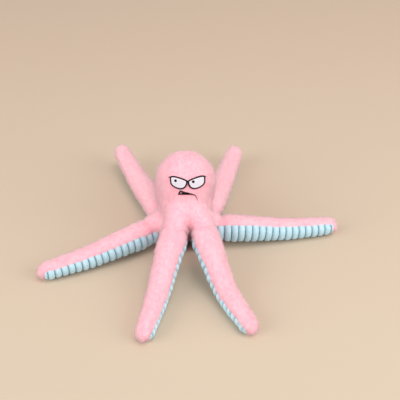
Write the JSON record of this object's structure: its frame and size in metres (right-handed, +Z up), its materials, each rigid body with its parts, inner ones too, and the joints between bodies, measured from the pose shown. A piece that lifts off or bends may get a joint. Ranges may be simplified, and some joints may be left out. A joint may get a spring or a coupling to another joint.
{
  "type": "plush octopus",
  "caption": "Soft stuffed octopus toy that sits leaning back on its rear legs, with six floppy legs, pink plush on top and ribbed blue plush underneath.",
  "frame": {"origin": "on the surface that the toy sits on, in the middle of its flat base, under the ring where the legs are sewn on", "axes": "+Z up, the face looks along -Y, +X is to the right of someone who looks at the face"},
  "size_m": [0.4165, 0.4135, 0.1236],
  "materials": {
    "pink_plush": "fine soft pile",
    "ribbed_blue": "ribbed short-pile plush",
    "eye_white": "flat embroidery",
    "maroon_stitching": "satin stitch",
    "filling_fibre": "polyester fibre",
    "squeaker_plastic": "soft"
  },
  "bodies": {
    "body": {"head_front": "pink_plush", "head_back": "pink_plush", "base_panel": "ribbed_blue", "crown_filling": "filling_fibre", "neck_filling": "filling_fibre", "squeaker_bulb": "squeaker_plastic", "squeaker_reed": "squeaker_plastic", "left_eye_white": "eye_white", "right_eye_white": "eye_white", "left_eye_line": "maroon_stitching", "right_eye_line": "maroon_stitching", "left_pupil": "maroon_stitching", "right_pupil": "maroon_stitching", "mouth": "maroon_stitching"},
    "front_left_root": {"front_left_leg_seam": "pink_plush"},
    "front_left_inner": {"front_left_leg_inner_cover": "pink_plush", "front_left_leg_inner_underside": "ribbed_blue", "front_left_leg_inner_filling": "filling_fibre"},
    "front_left_outer": {"front_left_leg_outer_cover": "pink_plush", "front_left_leg_outer_underside": "ribbed_blue", "front_left_leg_outer_filling": "filling_fibre"},
    "front_right_root": {"front_right_leg_seam": "pink_plush"},
    "front_right_inner": {"front_right_leg_inner_cover": "pink_plush", "front_right_leg_inner_underside": "ribbed_blue", "front_right_leg_inner_filling": "filling_fibre"},
    "front_right_outer": {"front_right_leg_outer_cover": "pink_plush", "front_right_leg_outer_underside": "ribbed_blue", "front_right_leg_outer_filling": "filling_fibre"},
    "right_root": {"right_leg_seam": "pink_plush"},
    "right_inner": {"right_leg_inner_cover": "pink_plush", "right_leg_inner_underside": "ribbed_blue", "right_leg_inner_filling": "filling_fibre"},
    "right_outer": {"right_leg_outer_cover": "pink_plush", "right_leg_outer_underside": "ribbed_blue", "right_leg_outer_filling": "filling_fibre"},
    "rear_right_root": {"rear_right_leg_seam": "pink_plush"},
    "rear_right_inner": {"rear_right_leg_inner_cover": "pink_plush", "rear_right_leg_inner_underside": "ribbed_blue", "rear_right_leg_inner_filling": "filling_fibre"},
    "rear_right_outer": {"rear_right_leg_outer_cover": "pink_plush", "rear_right_leg_outer_underside": "ribbed_blue", "rear_right_leg_outer_filling": "filling_fibre"},
    "rear_left_root": {"rear_left_leg_seam": "pink_plush"},
    "rear_left_inner": {"rear_left_leg_inner_cover": "pink_plush", "rear_left_leg_inner_underside": "ribbed_blue", "rear_left_leg_inner_filling": "filling_fibre"},
    "rear_left_outer": {"rear_left_leg_outer_cover": "pink_plush", "rear_left_leg_outer_underside": "ribbed_blue", "rear_left_leg_outer_filling": "filling_fibre"},
    "left_root": {"left_leg_seam": "pink_plush"},
    "left_inner": {"left_leg_inner_cover": "pink_plush", "left_leg_inner_underside": "ribbed_blue", "left_leg_inner_filling": "filling_fibre"},
    "left_outer": {"left_leg_outer_cover": "pink_plush", "left_leg_outer_underside": "ribbed_blue", "left_leg_outer_filling": "filling_fibre"}
  },
  "joints": [
    {"name": "front_left_swing", "type": "hinge", "parent": "body", "child": "front_left_root", "pos_m": [-0.01316, -0.04303, 0.046], "axis": [0, 0, 1], "range_deg": [-20, 20]},
    {"name": "front_left_lift", "type": "hinge", "parent": "front_left_root", "child": "front_left_inner", "pos_m": [-0.01316, -0.04303, 0.046], "axis": [-0.9744, 0.225, 0], "range_deg": [-30, 45]},
    {"name": "front_left_bend", "type": "hinge", "parent": "front_left_inner", "child": "front_left_outer", "pos_m": [-0.03295, -0.12878, 0.018], "axis": [-0.9744, 0.225, 0], "range_deg": [-45, 45]},
    {"name": "front_right_swing", "type": "hinge", "parent": "body", "child": "front_right_root", "pos_m": [0.02516, -0.03731, 0.046], "axis": [0, 0, 1], "range_deg": [-15, 20]},
    {"name": "front_right_lift", "type": "hinge", "parent": "front_right_root", "child": "front_right_inner", "pos_m": [0.02516, -0.03731, 0.046], "axis": [-0.9703, -0.2419, 0], "range_deg": [-30, 45]},
    {"name": "front_right_bend", "type": "hinge", "parent": "front_right_inner", "child": "front_right_outer", "pos_m": [0.0524, -0.12091, 0.01809], "axis": [-0.9266, -0.3761, 0], "range_deg": [-45, 45]},
    {"name": "right_swing", "type": "hinge", "parent": "body", "child": "right_root", "pos_m": [0.04489, -0.00314, 0.023], "axis": [0, 0, 1], "range_deg": [-20, 20]},
    {"name": "right_lift", "type": "hinge", "parent": "right_root", "child": "right_inner", "pos_m": [0.04489, -0.00314, 0.023], "axis": [0.0175, -0.9998, 0], "range_deg": [-45, 45]},
    {"name": "right_bend", "type": "hinge", "parent": "right_inner", "child": "right_outer", "pos_m": [0.1326, 0.00344, 0.0163], "axis": [0.1318, -0.9913, 0], "range_deg": [-45, 45]},
    {"name": "rear_right_swing", "type": "hinge", "parent": "body", "child": "rear_right_root", "pos_m": [0.03069, 0.03291, 0.021], "axis": [0, 0, 1], "range_deg": [-20, 20]},
    {"name": "rear_right_lift", "type": "hinge", "parent": "rear_right_root", "child": "rear_right_inner", "pos_m": [0.03069, 0.03291, 0.021], "axis": [0.9563, -0.2924, 0], "range_deg": [-45, 14]},
    {"name": "rear_right_bend", "type": "hinge", "parent": "rear_right_inner", "child": "rear_right_outer", "pos_m": [0.0553, 0.1174, 0.01852], "axis": [0.9637, -0.2669, 0], "range_deg": [-45, 45]},
    {"name": "rear_left_swing", "type": "hinge", "parent": "body", "child": "rear_left_root", "pos_m": [-0.03182, 0.03182, 0.021], "axis": [0, 0, 1], "range_deg": [-20, 20]},
    {"name": "rear_left_lift", "type": "hinge", "parent": "rear_left_root", "child": "rear_left_inner", "pos_m": [-0.03182, 0.03182, 0.021], "axis": [0.891, 0.454, 0], "range_deg": [-45, 14]},
    {"name": "rear_left_bend", "type": "hinge", "parent": "rear_left_inner", "child": "rear_left_outer", "pos_m": [-0.07003, 0.11108, 0.02108], "axis": [0.9102, 0.4142, 0], "range_deg": [-45, 45]},
    {"name": "left_swing", "type": "hinge", "parent": "body", "child": "left_root", "pos_m": [-0.04417, -0.00859, 0.023], "axis": [0, 0, 1], "range_deg": [-20, 10]},
    {"name": "left_lift", "type": "hinge", "parent": "left_root", "child": "left_inner", "pos_m": [-0.04417, -0.00859, 0.023], "axis": [-0.5299, 0.848, 0], "range_deg": [-45, 40]},
    {"name": "left_bend", "type": "hinge", "parent": "left_inner", "child": "left_outer", "pos_m": [-0.12076, -0.05187, 0.01662], "axis": [-0.4531, 0.8915, 0], "range_deg": [-45, 45]}
  ]
}
